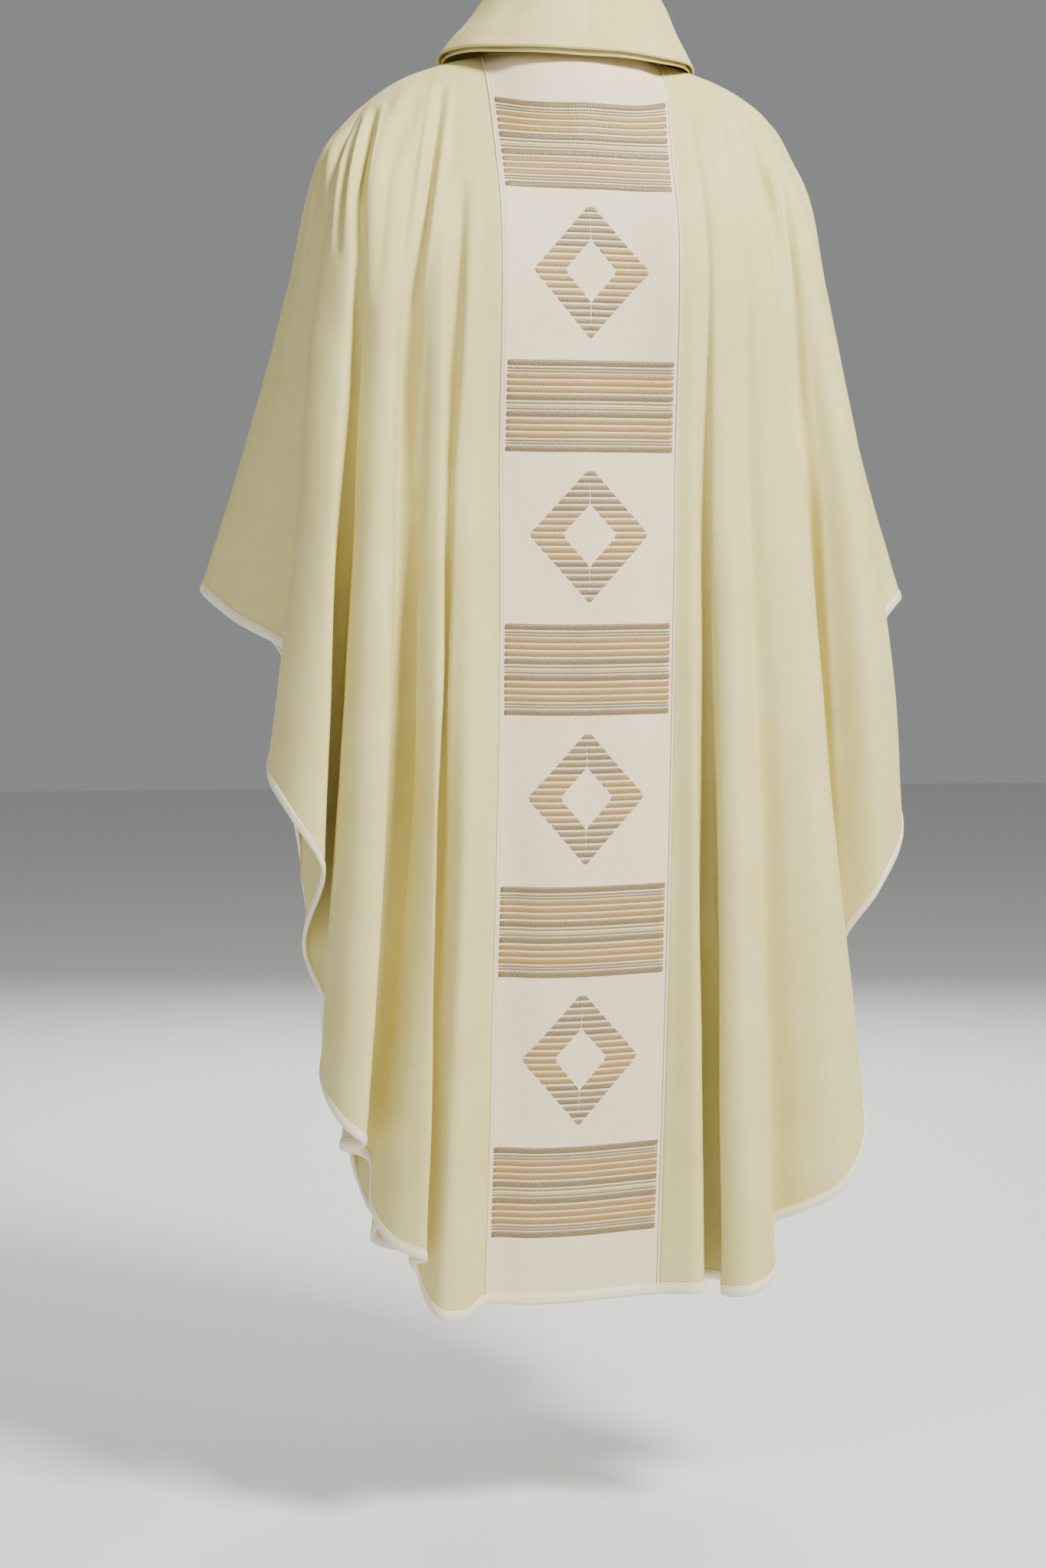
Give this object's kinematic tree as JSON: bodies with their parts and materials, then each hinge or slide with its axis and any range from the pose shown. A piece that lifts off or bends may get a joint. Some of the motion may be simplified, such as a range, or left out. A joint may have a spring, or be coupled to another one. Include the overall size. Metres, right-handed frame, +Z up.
{
  "type": "chasuble",
  "caption": "Full-cut cream liturgical chasuble in its worn, empty form, with a banded orphrey panel, wide roll collar and folds falling from the shoulders",
  "frame": {"origin": "middle of the shoulders at the foot of the neck, where the wearer carries the garment", "axes": "+Z up, -Y towards the back of the garment, +X towards the wearer's right"},
  "size_m": [0.7728, 0.3735, 1.3748],
  "materials": {
    "wool": "soft matt woven wool",
    "band": "matt woven wool with satin stitch bands",
    "satin": "satin"
  },
  "bodies": {
    "root": {"back_left": "wool", "back_orphrey": "band", "back_right": "wool", "front_left": "wool", "front_orphrey": "band", "front_right": "wool", "collar": "wool", "back_hem_binding": "satin", "front_hem_binding": "satin", "back_left_cord": "satin", "back_right_cord": "satin", "front_left_cord": "satin", "front_right_cord": "satin"}
  },
  "joints": []
}
